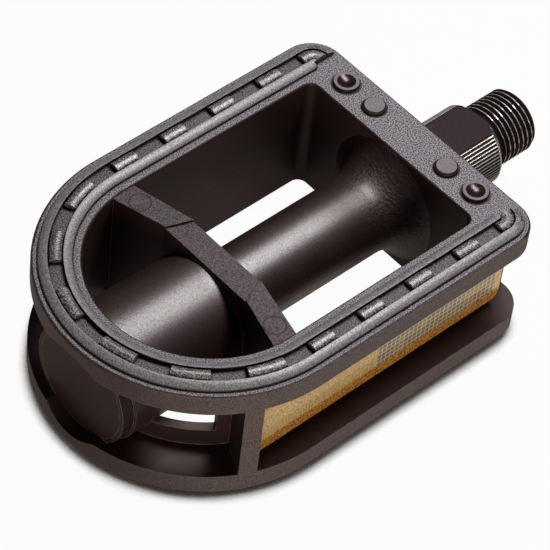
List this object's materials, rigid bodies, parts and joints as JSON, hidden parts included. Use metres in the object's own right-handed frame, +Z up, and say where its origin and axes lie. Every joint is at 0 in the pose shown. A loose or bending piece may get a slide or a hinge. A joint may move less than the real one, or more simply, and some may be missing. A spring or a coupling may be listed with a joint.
{
  "type": "bicycle pedal",
  "caption": "Moulded platform pedal with a blocked tread on both faces, a rounded outer end and side reflectors, free to turn on ball bearings about a threaded spindle.",
  "frame": {"origin": "on the spindle's axis, in the plane of the collar's shoulder that tightens against the crank", "axes": "+Y along the spindle towards the crank, +Z up out of one tread face, +X towards one reflector"},
  "size_m": [0.068, 0.1213, 0.0324],
  "materials": {
    "black_nylon": "charcoal black moulded nylon with a fine grain on the lips",
    "amber_lens": "clear amber reflector plastic, smooth outside",
    "black_steel": "black oxide with bright thread crests",
    "bearing_steel": "turned and ground steel",
    "ball_chrome": "polished",
    "seal_rubber": "matte black"
  },
  "bodies": {
    "spindle_group": {"spindle": "black_steel", "outer_cone": "bearing_steel", "lock_washer": "bearing_steel", "lock_nut": "bearing_steel"},
    "pedal": {"pedal_body": "black_nylon", "end_cap": "black_nylon", "inner_bearing_cup": "bearing_steel", "outer_bearing_cup": "bearing_steel", "inner_dust_seal": "seal_rubber", "front_reflector_back": "black_nylon", "front_reflector_lens": "amber_lens", "rear_reflector_back": "black_nylon", "rear_reflector_lens": "amber_lens"},
    "inner_ball_ring": {"inner_ball_01": "ball_chrome", "inner_ball_02": "ball_chrome", "inner_ball_03": "ball_chrome", "inner_ball_04": "ball_chrome", "inner_ball_05": "ball_chrome", "inner_ball_06": "ball_chrome", "inner_ball_07": "ball_chrome", "inner_ball_08": "ball_chrome", "inner_ball_09": "ball_chrome", "inner_ball_10": "ball_chrome", "inner_ball_11": "ball_chrome", "inner_ball_12": "ball_chrome"},
    "outer_ball_ring": {"outer_ball_01": "ball_chrome", "outer_ball_02": "ball_chrome", "outer_ball_03": "ball_chrome", "outer_ball_04": "ball_chrome", "outer_ball_05": "ball_chrome", "outer_ball_06": "ball_chrome", "outer_ball_07": "ball_chrome", "outer_ball_08": "ball_chrome", "outer_ball_09": "ball_chrome", "outer_ball_10": "ball_chrome", "outer_ball_11": "ball_chrome", "outer_ball_12": "ball_chrome"}
  },
  "joints": [
    {"name": "pedal_spin", "type": "hinge", "parent": "spindle_group", "child": "pedal", "pos_m": [0, 0, 0], "axis": [0, 1, 0], "continuous": true},
    {"name": "inner_ball_ring_spin", "type": "hinge", "parent": "spindle_group", "child": "inner_ball_ring", "pos_m": [0, 0, 0], "axis": [0, 1, 0], "continuous": true},
    {"name": "outer_ball_ring_spin", "type": "hinge", "parent": "spindle_group", "child": "outer_ball_ring", "pos_m": [0, 0, 0], "axis": [0, 1, 0], "continuous": true}
  ],
  "couplings": [
    {"joint": "inner_ball_ring_spin", "follows": "pedal_spin", "ratio": 0.585},
    {"joint": "outer_ball_ring_spin", "follows": "pedal_spin", "ratio": 0.585}
  ]
}
